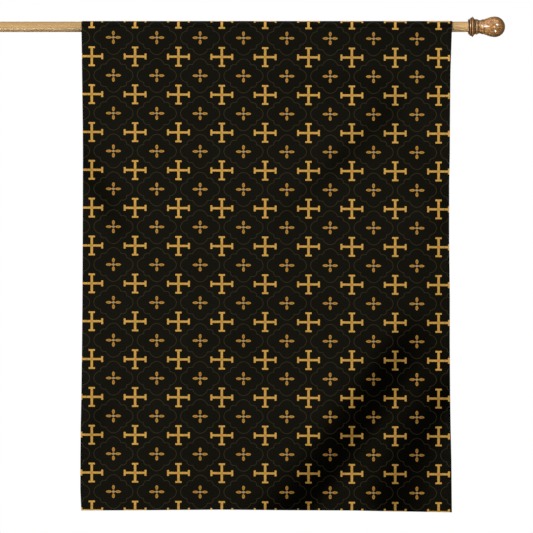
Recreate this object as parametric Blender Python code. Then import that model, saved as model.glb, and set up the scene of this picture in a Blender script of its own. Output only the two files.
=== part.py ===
"""House flag: a printed cloth panel that hangs by its sewn sleeve from a round wooden pole with a turned finial.

The origin is the centre of the pole's plain butt end, which a wall bracket takes. The pole runs along +X to its
finial, the cloth hangs down along -Z, and its printed front faces -Y. All lengths are in metres.
"""

import math

import bmesh
import bpy
from mathutils import Vector

MM = 0.001
INCH = 0.0254

# The pole and its finial
POLE_RADIUS = 10 * MM
OVERALL_LENGTH = 48 * INCH
FINIAL_LENGTH = 71 * MM
SOCKET_DEPTH = 14 * MM
POLE_CHAMFER = 1.5 * MM
FIT_GAP = 0.3 * MM
POLE_SIDES = 32
FINIAL_SIDES = 32

# The cloth: cut 28 by 40 inches, with 3 inches of it turned over into the sleeve
FLAG_WIDTH = 28 * INCH
FLAG_DROP = 37 * INCH
CLOTH_THICKNESS = 1.2 * MM
FLAG_TO_FINIAL = 31.0 * MM
SEAM_DROP = 58 * MM  # below the pole's axis, which makes the sleeve 3 inches deep when it is laid flat
# The seam hangs in front of the pole's axis: friction on the pole holds the sleeve's front nearly straight.
SEAM_FORWARD = 5.4 * MM
SEAM_WIDTH = 8 * MM  # the turned edge that is sewn flat against the front layer

COLUMNS = 34
TAIL_ROWS = 44
LEG_ROWS = 3
ARC_ROWS = 12

# Places along the pole
FINIAL_BASE = OVERALL_LENGTH - FINIAL_LENGTH
POLE_END = FINIAL_BASE + SOCKET_DEPTH
FLAG_LEFT = FINIAL_BASE - FLAG_TO_FINIAL - FLAG_WIDTH

# Radii of the sleeve where it goes over the pole
SLEEVE_INSIDE = POLE_RADIUS + FIT_GAP
SLEEVE_OUTSIDE = SLEEVE_INSIDE + CLOTH_THICKNESS

# Soft folds, in millimetres from the cloth's top left corner. Each runs from its start to its end, and its middle may
# bow out of the straight. Across it the cloth steps back towards its lower right. Steepness is how steeply it does so,
# and the reaches are how far the slope goes to either side of the fold's line. A share of the step stands forward, on
# the fold's upper left, and the rest lies back. Settling is how far from the line the cloth is level again.
FOLDS = (
    # name, (across, down) at its start, (across, down) at its end, bow, steepness,
    # reach on its upper left at each end, reach on its lower right at each end, share forward, settling, fades
    ("long corner fold", (669, 529), (371, 1002), 15, 0.315, (16, 41), (30, 9), 0.0, 1500, (183, 25)),
    ("short corner fold", (724, 690), (569, 970), -13, 0.235, (32, 24), (8, 50), 0.0, 1500, (60, 60)),
    ("corner swing", (780, 403), (350, 1150), -25, 0.036, (86, 95), (95, 95), 0.0, 1500, (155, 60)),
    ("high crease", (648, 98), (303, 452), 11, 0.115, (26, 8), (29, 8), 0.5, 200, (113, 304)),
    ("left edge dent", (-43, 190), (130, 500), -4, 0.135, (8, 26), (26, 36), 0.5, 120, (85, 200)),
    ("left low dent", (34, 670), (20, 880), 0, 0.085, (10, 10), (24, 24), 0.5, 90, (70, 90)),
    ("right edge dent", (728, 340), (640, 462), 0, 0.065, (12, 16), (20, 30), 0.5, 70, (40, 110)),
)

SETTLING_DROP = 85.0  # how far below the straight seam the folds come in

# The cloth's outline was measured in a view from straight in front. A place that lies further back is set that much
# further out from the view's middle, so that it still covers the same outline.
VIEW_DISTANCE = 8.0
VIEW_MIDDLE = (761.2 * MM, -460.2 * MM)

# Broad swells of the whole panel, in millimetres
SWELLS = (
    # across, down, height towards the front, radius
    (380, 700, -3.0, 150),
    (200, 420, 2.5, 210),
    (560, 300, 2.0, 160),
)

# How far the cloth's side edges draw in towards its middle, in millimetres
SIDE_EDGES = (
    # down, left edge, right edge
    (0, 0.1, -0.2),
    (100, 1.2, 3.0),
    (200, 2.6, 3.9),
    (254, 2.9, 4.2),
    (310, 2.8, 5.4),
    (420, 2.5, 5.5),
    (530, 2.0, 4.2),
    (620, 1.2, 4.3),
    (710, 0.1, 3.7),
    (780, -1.3, 2.6),
    (840, -1.8, 1.2),
    (900, -2.0, 0.7),
    (950, 0.2, 0.2),
)

# How far the bottom hem hangs below a level line, in millimetres
BOTTOM_HEM = (
    # across, drop
    (0, 0.0),
    (120, -0.4),
    (270, -1.6),
    (400, -0.4),
    (520, 0.1),
    (580, 1.4),
    (640, 2.3),
    (712, 3.6),
)

# The finial's turned shapes, in millimetres from its base
FINIAL_SHAPES = (
    # name, where it starts, where it ends, radius at its start, radius at its end, how far its middle stands out
    ("base collar", 0.0, 1.0, 14.2, 14.9, 0.0),
    ("base groove", 1.0, 2.8, 14.9, 16.0, -1.1),
    ("base bead", 2.8, 5.2, 16.0, 17.5, 0.5),
    ("ridge groove", 5.2, 6.8, 17.5, 18.6, -1.0),
    ("ridge", 6.8, 9.0, 18.6, 19.1, 0.6),
    ("ridge back", 9.0, 12.9, 19.1, 14.2, 0.0),
    ("collar bead", 12.9, 19.2, 14.2, 13.6, 0.9),
    ("neck", 19.2, 25.0, 13.6, 13.2, -0.7),
    ("neck bead", 25.0, 30.4, 13.2, 14.1, 0.7),
)
BULB_START = 30.4
BULB_START_RADIUS = 14.1
BULB_MIDDLE = 51.5
BULB_RADIUS = 19.7
SHAPE_STEPS = 4
BULB_RISE_STEPS = 5
BULB_END_STEPS = 8

WOOD = (0.56, 0.36, 0.19)
LACQUERED_WOOD = (0.36, 0.19, 0.09)
PRINTED_CLOTH = (0.012, 0.011, 0.008)


def clear_scene():
    for thing in list(bpy.data.objects):
        bpy.data.objects.remove(thing, do_unlink=True)


def material(name, colour, roughness):
    made = bpy.data.materials.new(name)
    made.use_nodes = True
    shader = made.node_tree.nodes["Principled BSDF"]
    shader.inputs["Base Color"].default_value = (*colour, 1.0)
    shader.inputs["Roughness"].default_value = roughness
    shader.inputs["Metallic"].default_value = 0.0
    return made


def finished(name, shape, finish, sharp_degrees):
    """An object made of a bmesh, with its faces outwards and its round stretches shaded smooth."""
    bmesh.ops.recalc_face_normals(shape, faces=shape.faces)
    mesh = bpy.data.meshes.new(name)
    shape.to_mesh(mesh)
    shape.free()
    mesh.shade_smooth()
    mesh.set_sharp_from_angle(angle=math.radians(sharp_degrees))
    mesh.materials.append(finish)
    thing = bpy.data.objects.new(name, mesh)
    bpy.context.scene.collection.objects.link(thing)
    return thing


def eased(share):
    """0 to 1 for a share of 0 to 1, starting and ending level."""
    share = min(max(share, 0.0), 1.0)
    return share * share * (3.0 - 2.0 * share)


def between(table, at, column):
    """A column of a table of rows, at a place along its first column."""
    for row, following in zip(table, table[1:]):
        if at <= following[0]:
            share = (at - row[0]) / (following[0] - row[0])
            return row[column] + (following[column] - row[column]) * share
    return table[-1][column]


def turned(name, profile, sides, finish, sharp_degrees):
    """A piece turned about the pole's axis. The profile is its (place along X, radius), from axis to axis."""
    shape = bmesh.new()
    points = [shape.verts.new((x, 0.0, radius)) for x, radius in profile]
    edges = [shape.edges.new(pair) for pair in zip(points, points[1:])]
    bmesh.ops.spin(
        shape,
        geom=points + edges,
        cent=(0.0, 0.0, 0.0),
        axis=(1.0, 0.0, 0.0),
        angle=2.0 * math.pi,
        steps=sides,
        use_merge=True,
    )
    bmesh.ops.remove_doubles(shape, verts=shape.verts, dist=0.01 * MM)
    return finished(name, shape, finish, sharp_degrees)


def pole_profile():
    return [
        (0.0, 0.0),
        (0.0, POLE_RADIUS - POLE_CHAMFER),
        (POLE_CHAMFER, POLE_RADIUS),
        (POLE_END - POLE_CHAMFER, POLE_RADIUS),
        (POLE_END, POLE_RADIUS - POLE_CHAMFER),
        (POLE_END, 0.0),
    ]


def finial_profile():
    """The blind socket that the pole's end sits in, then the turned shapes, then the bulb to its tip."""
    socket_floor = FINIAL_BASE + SOCKET_DEPTH + FIT_GAP
    socket_radius = POLE_RADIUS + FIT_GAP
    profile = [(socket_floor, 0.0), (socket_floor, socket_radius), (FINIAL_BASE, socket_radius)]
    for _, start, end, start_radius, end_radius, crown in FINIAL_SHAPES:
        steps = SHAPE_STEPS if crown else 1
        for step in range(steps):
            share = step / steps
            radius = start_radius + (end_radius - start_radius) * share + crown * math.sin(math.pi * share)
            profile.append((FINIAL_BASE + (start + (end - start) * share) * MM, radius * MM))
    for step in range(BULB_RISE_STEPS):
        share = step / BULB_RISE_STEPS
        radius = BULB_START_RADIUS + (BULB_RADIUS - BULB_START_RADIUS) * math.sin(0.5 * math.pi * share)
        profile.append((FINIAL_BASE + (BULB_START + (BULB_MIDDLE - BULB_START) * share) * MM, radius * MM))
    bulb_half = OVERALL_LENGTH - FINIAL_BASE - BULB_MIDDLE * MM
    for step in range(BULB_END_STEPS):
        turn = 0.5 * math.pi * step / BULB_END_STEPS
        profile.append((OVERALL_LENGTH - bulb_half * (1.0 - math.sin(turn)), BULB_RADIUS * MM * math.cos(turn)))
    profile.append((OVERALL_LENGTH, 0.0))
    return profile


def sleeve_loop(radius, layer):
    """(Y, Z) points of one face of the sleeve: up the front leg from the seam, over the pole, down the back leg.

    Each leg leaves the pole at a tangent and ends at the seam, a layer away from the seam's middle.
    """
    lean = math.atan(SEAM_FORWARD / SEAM_DROP)
    front_slope = math.asin(SLEEVE_INSIDE / math.hypot(SEAM_FORWARD, SEAM_DROP)) - lean
    back_slope = front_slope + 2.0 * lean
    arc = []
    for row in range(ARC_ROWS + 1):
        turn = -front_slope + (math.pi + front_slope + back_slope) * row / ARC_ROWS
        arc.append(Vector((-radius * math.cos(turn), radius * math.sin(turn))))
    front_foot = Vector((-SEAM_FORWARD - layer, -SEAM_DROP))
    back_foot = Vector((-SEAM_FORWARD + layer, -SEAM_DROP))
    front_leg = [front_foot.lerp(arc[0], row / LEG_ROWS) for row in range(LEG_ROWS)]
    back_leg = [arc[-1].lerp(back_foot, row / LEG_ROWS) for row in range(1, LEG_ROWS + 1)]
    return front_leg + arc + back_leg


def cloth_section(shape):
    """The cloth's cut edge at its left side, as faces: the hanging tail, the sewn seam and the sleeve above it."""

    def point(y, z):
        return shape.verts.new((FLAG_LEFT, y, z))

    seam_foot = -SEAM_DROP - SEAM_WIDTH
    bottom = SLEEVE_OUTSIDE - FLAG_DROP
    levels = [bottom + (seam_foot - bottom) * row / TAIL_ROWS for row in range(TAIL_ROWS + 1)]
    front = [point(-SEAM_FORWARD - CLOTH_THICKNESS, z) for z in levels]
    back = [point(-SEAM_FORWARD, z) for z in levels]
    faces = []
    for row in range(TAIL_ROWS):
        faces.append(shape.faces.new((front[row], front[row + 1], back[row + 1], back[row])))

    outside = [point(*at) for at in sleeve_loop(SLEEVE_OUTSIDE, CLOTH_THICKNESS)]
    inside = [point(*at) for at in sleeve_loop(SLEEVE_INSIDE, 0.0)[:-1]]
    inside.append(inside[0])
    for step in range(len(outside) - 1):
        faces.append(shape.faces.new((outside[step], outside[step + 1], inside[step + 1], inside[step])))
    turned_edge = point(CLOTH_THICKNESS - SEAM_FORWARD, seam_foot)
    faces.append(shape.faces.new((front[-1], outside[0], inside[0], outside[-1], turned_edge, back[-1])))
    return faces


def fold_offset(across, down):
    """How far back the folds and swells set the cloth at a place on it, all in millimetres."""
    back = 0.0
    for _, start, end, bow, steepness, left_reaches, right_reaches, forward, settling, fades in FOLDS:
        start, end = Vector(start), Vector(end)
        length = (end - start).length
        along = (end - start) / length
        to_lower_right = Vector((along.y, -along.x))
        offset = Vector((across, down)) - start
        place = offset.dot(along)
        share = min(max(place / length, 0.0), 1.0)
        aside = offset.dot(to_lower_right) - 4.0 * bow * share * (1.0 - share)
        left = left_reaches[0] + (left_reaches[1] - left_reaches[0]) * share
        right = right_reaches[0] + (right_reaches[1] - right_reaches[0]) * share
        reach = left if aside < 0.0 else right
        step = reach * math.erf(aside / reach / math.sqrt(2.0)) + left - forward * (left + right)
        step *= math.sqrt(0.5 * math.pi) * math.exp(-((aside / settling) ** 2))
        back += steepness * step * eased(place / fades[0]) * eased((length - place) / fades[1])
    for middle_across, middle_down, height, radius in SWELLS:
        away = (Vector((across, down)) - Vector((middle_across, middle_down))).length / radius
        back -= height * math.exp(-away * away)
    return back


def hang(shape):
    """Moves the straight cloth into its folds, draws in its side edges and lets its hem down. The sleeve stays put."""
    seam_down = (SLEEVE_OUTSIDE + SEAM_DROP + SEAM_WIDTH) / MM
    drop = FLAG_DROP / MM
    width = FLAG_WIDTH / MM
    for point in shape.verts:
        across = (point.co.x - FLAG_LEFT) / MM
        down = (SLEEVE_OUTSIDE - point.co.z) / MM
        free = eased((down - seam_down) / SETTLING_DROP)
        from_left = across / width
        left = between(SIDE_EDGES, down, 1)
        right = between(SIDE_EDGES, down, 2)
        back = free * fold_offset(across, down) * MM
        point.co.x += (left * (1.0 - from_left) - right * from_left) * MM
        point.co.y += back
        point.co.z -= between(BOTTOM_HEM, across, 1) * eased((down - seam_down) / (drop - seam_down)) * MM
        point.co.x += (point.co.x - VIEW_MIDDLE[0]) * back / VIEW_DISTANCE
        point.co.z += (point.co.z - VIEW_MIDDLE[1]) * back / VIEW_DISTANCE


def make_flag_cloth():
    """The cut edge pulled out along the pole into a straight sheet and sleeve, then hung into its folds."""
    shape = bmesh.new()
    edge = cloth_section(shape)
    for _ in range(COLUMNS):
        edge = bmesh.ops.extrude_face_region(shape, geom=edge)["geom"]
        points = [item for item in edge if isinstance(item, bmesh.types.BMVert)]
        bmesh.ops.translate(shape, verts=points, vec=(FLAG_WIDTH / COLUMNS, 0.0, 0.0))
    hang(shape)
    return finished("flag_cloth", shape, material("printed_cloth", PRINTED_CLOTH, 0.6), 50)


def main():
    clear_scene()
    turned("pole", pole_profile(), POLE_SIDES, material("pole_wood", WOOD, 0.45), 30)
    turned("finial", finial_profile(), FINIAL_SIDES, material("finial_wood", LACQUERED_WOOD, 0.2), 30)
    make_flag_cloth()


main()
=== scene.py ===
# %% [markdown]
# # A house flag on its pole
#
# A house flag is one long piece of printed polyester. A maker hems its sides and its bottom, turns the
# top over into a sleeve, and slides that sleeve on a round wooden stick with a turned knob at its free
# end. This notebook dresses a plain solid model of such a flag: it cuts the cloth flat, prints it, hangs
# it over the pole in its folds, sews it, and turns and varnishes the wood. Lengths are in metres unless a
# name or a comment says millimetres.

# %% Load the fixed model
import math

import bmesh
import bpy
from mathutils import Matrix, Vector, noise


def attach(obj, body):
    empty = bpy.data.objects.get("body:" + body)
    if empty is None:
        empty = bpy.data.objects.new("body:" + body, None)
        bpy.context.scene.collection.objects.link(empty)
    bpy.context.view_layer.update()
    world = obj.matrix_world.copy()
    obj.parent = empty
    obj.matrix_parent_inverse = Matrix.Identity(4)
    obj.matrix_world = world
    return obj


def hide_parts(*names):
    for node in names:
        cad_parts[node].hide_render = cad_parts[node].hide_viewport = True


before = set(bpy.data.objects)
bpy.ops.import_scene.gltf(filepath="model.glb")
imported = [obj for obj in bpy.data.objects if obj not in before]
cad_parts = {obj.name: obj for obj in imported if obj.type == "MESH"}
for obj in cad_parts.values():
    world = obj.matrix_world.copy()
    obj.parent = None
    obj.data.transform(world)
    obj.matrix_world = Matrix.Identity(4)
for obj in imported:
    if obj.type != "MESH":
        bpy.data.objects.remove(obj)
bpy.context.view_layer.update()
MM = 0.001

# %% [markdown]
# ## The camera
#
# The photograph looks straight at the cloth through a long lens. A pixel of it covers 1.92 mm of the
# cloth, because the cloth is 28 inches wide there. A lens is chosen from that: sensor width times
# distance, divided by the width of the view. The camera stands level, so the pole stays level in the
# picture too.

# %% Set up the camera
PHOTO_PIXELS = 533
MM_PER_PIXEL = 1.92
CAMERA_DISTANCE = 8.0
VIEW_CENTRE = Vector((0.7612, 0.0, -0.4602))
SENSOR_WIDTH = 36.0

camera_data = bpy.data.cameras.new("level_camera")
camera_data.sensor_width = SENSOR_WIDTH
camera_data.lens = SENSOR_WIDTH * CAMERA_DISTANCE / (PHOTO_PIXELS * MM_PER_PIXEL * MM)
camera = bpy.data.objects.new("level_camera", camera_data)
camera.location = VIEW_CENTRE + Vector((0.0, -CAMERA_DISTANCE, 0.0))
camera.rotation_euler = (math.radians(90), 0.0, 0.0)
bpy.context.scene.collection.objects.link(camera)
bpy.context.scene.camera = camera
print("lens", round(camera_data.lens, 1), "mm")

# %% [markdown]
# ## Light and floor
#
# A dark cloth shows its folds only where a light skims across it, so the main softbox stands far out to
# the left and a little above. A weak one beside the camera is mirrored by the flat cloth's dull shine but
# not by its folds, which turns them black. A big dim one hangs overhead, and another stands behind so
# that the cloth's back isn't lost. The wood has small ones of its own, each behind a grid that keeps its
# light off the cloth: two leave white spots on the lacquer, and two fill in the undersides. The floor and
# the space behind are plain and bright, as in a shop picture. They are bright to the camera alone,
# because a white room would wash the folds out.

# %% Softboxes
MAIN_LIGHT_FROM = 20.0 * Vector((-0.81, -0.50, 0.31))
SHINE_LIGHT_FROM = 25.0 * Vector((-0.025, -0.999, -0.03))
BACK_LIGHT_FROM = Vector((-1.9, 4.2, 1.3))
NO_GRID = 180

SOFTBOXES = (
    # name, where it stands, where it aims, how wide and high it is, its grid's opening in degrees, watts
    ("main_softbox", VIEW_CENTRE + MAIN_LIGHT_FROM, VIEW_CENTRE, (4.0, 4.0), NO_GRID, 5350),
    ("shine_softbox", VIEW_CENTRE + SHINE_LIGHT_FROM, VIEW_CENTRE, (5.0, 5.0), NO_GRID, 390),
    ("top_softbox", (0.76, -1.9, 4.5), (0.76, 0.0, 0.0), (6.5, 6.5), NO_GRID, 60),
    ("back_softbox", VIEW_CENTRE + BACK_LIGHT_FROM, VIEW_CENTRE, (3.0, 3.0), NO_GRID, 90),
    ("knob_right_softbox", (1.30, -0.233, 0.0885), (1.203, -0.019, 0.003), (0.08, 0.08), 30, 0.0140),
    ("knob_left_softbox", (1.059, -0.155, 0.007), (1.185, 0.0, 0.0), (0.045, 0.045), 24, 0.0026),
    ("knob_low_softbox", (1.265, -0.74, -0.94), (1.168, 0.0, 0.0), (0.12, 0.14), 6, 0.0240),
    ("pole_low_softbox", (0.18, -0.74, -0.94), (0.18, 0.0, 0.0), (0.44, 0.10), 6, 0.0750),
)


def add_softbox(name, place, aim, size, grid_degrees, watts):
    """A round softbox where its two sizes are alike, and else a square-cornered one."""
    data = bpy.data.lights.new(name, "AREA")
    data.shape = "ELLIPSE" if size[0] == size[1] else "RECTANGLE"
    data.size, data.size_y = size
    data.spread = math.radians(grid_degrees)
    data.energy = watts
    softbox = bpy.data.objects.new(name, data)
    softbox.location = place
    softbox.rotation_euler = (Vector(aim) - Vector(place)).to_track_quat("-Z", "Y").to_euler()
    softbox.visible_camera = False
    bpy.context.scene.collection.objects.link(softbox)


for softbox_row in SOFTBOXES:
    add_softbox(*softbox_row)
print(len(SOFTBOXES), "softboxes")


# %% A room that is bright to the camera alone
WHITE = (1.0, 1.0, 1.0, 1.0)
ROOM_LIGHT = 0.02


def put(tree, socket, value):
    """Links a socket to an output, or sets its value."""
    if isinstance(value, bpy.types.NodeSocket):
        tree.links.new(value, socket)
    else:
        socket.default_value = value


def new_node(tree, kind, settings):
    """A node with some of its sockets linked or set."""
    node = tree.nodes.new(kind)
    for label, value in settings.items():
        put(tree, node.inputs[label], value)
    return node


def bright_to_camera(tree, seen_by_camera, seen_by_rest, output):
    """Joins one shader for the camera and another for all other rays to the output."""
    mix = tree.nodes.new("ShaderNodeMixShader")
    is_camera = tree.nodes.new("ShaderNodeLightPath").outputs["Is Camera Ray"]
    for socket, value in zip(mix.inputs, (is_camera, seen_by_rest.outputs[0], seen_by_camera.outputs[0])):
        put(tree, socket, value)
    put(tree, output.inputs["Surface"], mix.outputs[0])


room = bpy.data.worlds.new("white_room")
room.use_nodes = True
bpy.context.scene.world = room
room.node_tree.nodes.clear()
room_seen = new_node(room.node_tree, "ShaderNodeBackground", {"Color": WHITE, "Strength": 1.0})
room_glow = new_node(room.node_tree, "ShaderNodeBackground", {"Color": WHITE, "Strength": ROOM_LIGHT})
room_out = new_node(room.node_tree, "ShaderNodeOutputWorld", {})
bright_to_camera(room.node_tree, room_seen, room_glow, room_out)
print("room glows at", ROOM_LIGHT)

# %% The floor
FLOOR_LEVEL = -1.45
FLOOR_HALF = 7.0
FLOOR_DARK = (0.03, 0.03, 0.03, 1.0)

floor_paint = bpy.data.materials.new("floor_paint")
floor_paint.use_nodes = True
floor_paint.node_tree.nodes.clear()
floor_seen = new_node(floor_paint.node_tree, "ShaderNodeEmission", {"Color": WHITE})
floor_matt = new_node(floor_paint.node_tree, "ShaderNodeBsdfDiffuse", {"Color": FLOOR_DARK})
floor_out = new_node(floor_paint.node_tree, "ShaderNodeOutputMaterial", {})
bright_to_camera(floor_paint.node_tree, floor_seen, floor_matt, floor_out)

floor_shape = bmesh.new()
bmesh.ops.create_grid(floor_shape, x_segments=1, y_segments=1, size=FLOOR_HALF)
bmesh.ops.translate(floor_shape, vec=(VIEW_CENTRE.x, 0.0, FLOOR_LEVEL), verts=floor_shape.verts)
floor_mesh = bpy.data.meshes.new("floor")
floor_shape.to_mesh(floor_mesh)
floor_shape.free()
floor_mesh.materials.append(floor_paint)
floor = bpy.data.objects.new("floor", floor_mesh)
bpy.context.scene.collection.objects.link(floor)
bpy.context.scene.view_settings.view_transform = "Standard"
print("floor at", FLOOR_LEVEL, "m")

# %% [markdown]
# ## Small helpers for the meshes
#
# Each piece is shaped in a bmesh and then becomes an object whose origin stays at the world's origin. A
# round piece is shaded smooth, with its crisp edges kept.


# %% From a bmesh to a finished piece
def finished(name, shape, finish, sharp_degrees=None):
    """An object made of a bmesh. Without an angle for its crisp edges, it keeps the bmesh's own."""
    mesh = bpy.data.meshes.new(name)
    shape.to_mesh(mesh)
    shape.free()
    if sharp_degrees:
        mesh.shade_smooth()
        mesh.set_sharp_from_angle(angle=math.radians(sharp_degrees))
    mesh.materials.append(finish)
    piece = bpy.data.objects.new(name, mesh)
    bpy.context.scene.collection.objects.link(piece)
    print(name, len(mesh.polygons), "faces")
    return piece


def eased(share):
    """0 to 1 for a share of 0 to 1, starting and ending level."""
    share = min(max(share, 0.0), 1.0)
    return share * share * (3.0 - 2.0 * share)


def between(table, at, column):
    """A column of a table of rows, at a place along its first column."""
    for row, following in zip(table, table[1:]):
        if at <= following[0]:
            share = (at - row[0]) / (following[0] - row[0])
            return row[column] + (following[column] - row[column]) * share
    return table[-1][column]


# %% [markdown]
# ## How the cloth hangs
#
# Cloth hung from a stick is nearly flat, and what makes it look like cloth is the few places where it
# isn't. A simulation would make folds, but other ones than those in the photograph. So each fold is a row
# in a short table: where it starts and ends, how steeply the cloth steps back across it, and how far that
# slope reaches to each side. One formula turns a row into a soft step. The two corner folds keep their
# steps, so the free corner swings back, and the cloth is level again some way off the smaller dents. All
# of these are in millimetres from the cloth's top left corner.

# %% Sizes of the cloth and its sleeve, in millimetres
POLE_RADIUS = 10.0
OVERALL_LENGTH = 1219.2
FINIAL_LENGTH = 71.0
FINIAL_BASE = OVERALL_LENGTH - FINIAL_LENGTH
BARE_POLE = 31.0  # between the cloth and the finial
FLAG_WIDTH = 711.2
FLAG_DROP = 939.8
FLAG_LEFT = FINIAL_BASE - BARE_POLE - FLAG_WIDTH
LAYER = 1.2  # the room that one layer of cloth takes
SLEEVE_OUTSIDE = 11.5
SLEEVE_INSIDE = SLEEVE_OUTSIDE - LAYER
SEAM_DROP = 58.0
SEAM_WIDTH = 8.0
SEAM_FORWARD = 5.4  # how far in front of the pole's axis the layers are sewn together
FACE = SEAM_FORWARD + LAYER
SEAM_LEAN = math.atan(SEAM_FORWARD / SEAM_DROP)
FRONT_SLOPE = math.asin(SLEEVE_INSIDE / math.hypot(SEAM_FORWARD, SEAM_DROP)) - SEAM_LEAN
BACK_SLOPE = FRONT_SLOPE + 2.0 * SEAM_LEAN
BOTTOM = SLEEVE_OUTSIDE - FLAG_DROP
print("sleeve slopes", [round(math.degrees(slope), 1) for slope in (FRONT_SLOPE, BACK_SLOPE)], "degrees")

# %% Folds, swells and edges, in millimetres
FOLDS = (
    # name, (across, down) at its start, (across, down) at its end, bow, steepness,
    # reach on its upper left at each end, reach on its lower right at each end,
    # share of its step that comes forward, how far off the cloth is level again, how it fades at each end
    ("long corner fold", (669, 529), (371, 1002), 15, 0.315, (16, 41), (30, 9), 0.0, 1500, (183, 25)),
    ("short corner fold", (724, 690), (569, 970), -13, 0.235, (32, 24), (8, 50), 0.0, 1500, (60, 60)),
    ("corner swing", (780, 403), (350, 1150), -25, 0.036, (86, 95), (95, 95), 0.0, 1500, (155, 60)),
    ("high crease", (648, 98), (303, 452), 11, 0.115, (26, 8), (29, 8), 0.5, 200, (113, 304)),
    ("left edge dent", (-43, 190), (130, 500), -4, 0.135, (8, 26), (26, 36), 0.5, 120, (85, 200)),
    ("left low dent", (34, 670), (20, 880), 0, 0.085, (10, 10), (24, 24), 0.5, 90, (70, 90)),
    ("right edge dent", (728, 340), (640, 462), 0, 0.065, (12, 16), (20, 30), 0.5, 70, (40, 110)),
)
SETTLING_DROP = 85.0
SWELLS = (
    # across, down, height towards the front, radius
    (380, 700, -3.0, 150),
    (200, 420, 2.5, 210),
    (560, 300, 2.0, 160),
)
SIDE_EDGES = (
    # down, left edge, right edge
    (0, 0.1, -0.2),
    (100, 1.2, 3.0),
    (200, 2.6, 3.9),
    (254, 2.9, 4.2),
    (310, 2.8, 5.4),
    (420, 2.5, 5.5),
    (530, 2.0, 4.2),
    (620, 1.2, 4.3),
    (710, 0.1, 3.7),
    (780, -1.3, 2.6),
    (840, -1.8, 1.2),
    (900, -2.0, 0.7),
    (950, 0.2, 0.2),
)
BOTTOM_HEM = (
    # across, drop
    (0, 0.0),
    (120, -0.4),
    (270, -1.6),
    (400, -0.4),
    (520, 0.1),
    (580, 1.4),
    (640, 2.3),
    (712, 3.6),
)
print(len(FOLDS), "folds,", len(SWELLS), "swells")


# %% The folds' formula
def fold_offset(across, down):
    """How far back the folds and swells set the cloth at a place on it."""
    back = 0.0
    for _, start, end, bow, steepness, left_reaches, right_reaches, forward, settling, fades in FOLDS:
        start, end = Vector(start), Vector(end)
        length = (end - start).length
        along = (end - start) / length
        to_lower_right = Vector((along.y, -along.x))
        offset = Vector((across, down)) - start
        place = offset.dot(along)
        share = min(max(place / length, 0.0), 1.0)
        aside = offset.dot(to_lower_right) - 4.0 * bow * share * (1.0 - share)
        left = left_reaches[0] + (left_reaches[1] - left_reaches[0]) * share
        right = right_reaches[0] + (right_reaches[1] - right_reaches[0]) * share
        reach = left if aside < 0.0 else right
        step = reach * math.erf(aside / reach / math.sqrt(2.0)) + left - forward * (left + right)
        step *= math.sqrt(0.5 * math.pi) * math.exp(-((aside / settling) ** 2))
        back += steepness * step * eased(place / fades[0]) * eased((length - place) / fades[1])
    for middle_across, middle_down, height, radius in SWELLS:
        away = (Vector((across, down)) - Vector((middle_across, middle_down))).length / radius
        back -= height * math.exp(-away * away)
    return back


print("free corner swings back", round(fold_offset(FLAG_WIDTH, FLAG_DROP)), "mm")

# %% [markdown]
# The folds alone would leave the cloth between them as smooth as a door. Real polyester is never quite
# flat: it keeps faint, wide waves, and a sewn hem pulls it into small puckers. Both are under a
# millimetre high, and they catch the skimming light all the same.

# %% Unevenness and hem puckers
HEM_WIDTH = 12.0
WAVE_SIZE = (170.0, 230.0)
WAVE_HEIGHT = 1.1
RIPPLE_SIZE = (46.0, 60.0)
RIPPLE_HEIGHT = 0.22
RIPPLE_SLANT = 0.5
PUCKER_HEIGHT = 0.28
PUCKER_PITCH = 19.0
PUCKER_REACH = 1.3 * HEM_WIDTH
WANDER_PITCH, WANDER = 90.0, 2.4  # how slowly and how far the puckers shift along a hem
CHANGE_PITCH, CHANGE = 60.0, 0.6  # how slowly and how much their height changes


def waves(across, down, size, seed):
    return noise.noise(Vector((across / size[0], down / size[1], seed)))


def puckers(from_edge, place, seed):
    """The small waves that a row of stitches pulls up beside a hem."""
    strength = math.exp(-((from_edge / PUCKER_REACH) ** 2))
    wander = WANDER * noise.noise(Vector((place / WANDER_PITCH, seed, 0.0)))
    change = CHANGE + CHANGE * noise.noise(Vector((place / CHANGE_PITCH, seed, 5.0)))
    return PUCKER_HEIGHT * change * strength * math.sin(math.tau * place / PUCKER_PITCH + wander)


def unevenness(across, down):
    height = WAVE_HEIGHT * waves(across, down, WAVE_SIZE, seed=1.7)
    height += RIPPLE_HEIGHT * waves(across + RIPPLE_SLANT * down, down, RIPPLE_SIZE, seed=4.2)
    hems = ((across, down), (FLAG_WIDTH - across, down), (FLAG_DROP - down, across))
    for seed, (from_edge, place) in enumerate(hems, start=1):
        height += puckers(from_edge, place, seed)
    return height


heights = [
    unevenness(across, down)
    for across in range(0, int(FLAG_WIDTH), 20)
    for down in range(0, int(FLAG_DROP), 20)
]
print("waviest spot", round(max(heights), 2), "mm")

# %% [markdown]
# ## From flat cloth to hung cloth
#
# The cloth is cut as one flat rectangle and keeps that layout all its life: a point is known by how far
# across it lies and how far along, measured from the bottom edge. Going along, the cloth rises up the
# front, runs up the sleeve's front leg, goes over the pole, comes down the back leg and ends in a narrow
# edge that is sewn to the front. The function below turns such a point into its hung place, and also says
# where it lies in the print.

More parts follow.
